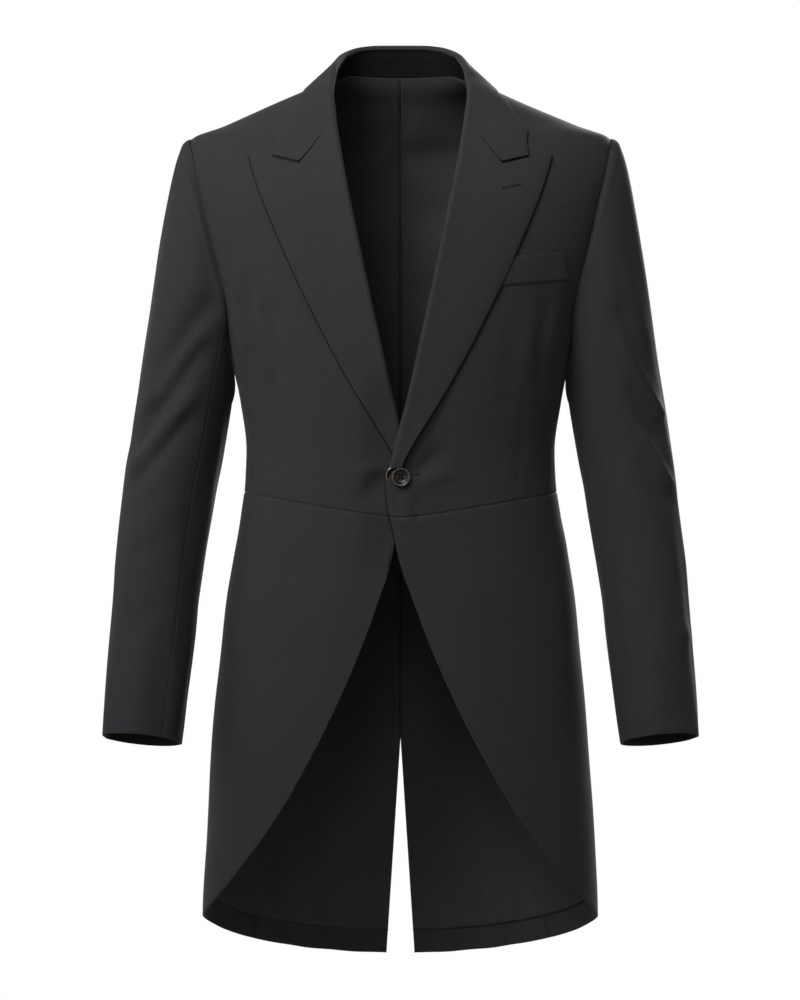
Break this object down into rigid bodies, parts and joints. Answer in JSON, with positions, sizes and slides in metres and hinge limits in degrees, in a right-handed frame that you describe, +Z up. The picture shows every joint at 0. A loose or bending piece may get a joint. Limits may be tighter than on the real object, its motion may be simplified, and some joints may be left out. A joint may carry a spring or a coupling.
{
  "type": "morning coat",
  "caption": "Charcoal wool morning coat with peak lapels, a link-button closing, cutaway fronts and long tails, filled out as worn with no wearer.",
  "frame": {"origin": "middle of the shoulder line, between the shoulders that hold the coat up", "axes": "+Z up, -Y out of the front of the coat, +X to the wearer's left"},
  "size_m": [0.651, 0.2726, 1.0297],
  "materials": {
    "wool": "matt fine plain-weave charcoal wool",
    "lining_satin": "soft black satin lining",
    "horn": "dark polished horn"
  },
  "bodies": {
    "root": {"collar_leaf": "wool", "collar_stand": "wool", "lapel_left": "wool", "lapel_right": "wool", "front_left": "wool", "front_right": "wool", "side_left": "wool", "side_right": "wool", "back_left": "wool", "back_right": "wool", "skirt_left": "wool", "skirt_right": "wool", "sleeve_top_left": "wool", "sleeve_top_right": "wool", "sleeve_under_left": "wool", "sleeve_under_right": "wool", "breast_welt": "wool", "lining_back_left": "lining_satin", "lining_back_right": "lining_satin", "lining_skirt_left": "lining_satin", "lining_skirt_right": "lining_satin", "button_front": "horn", "button_link": "horn"}
  },
  "joints": []
}
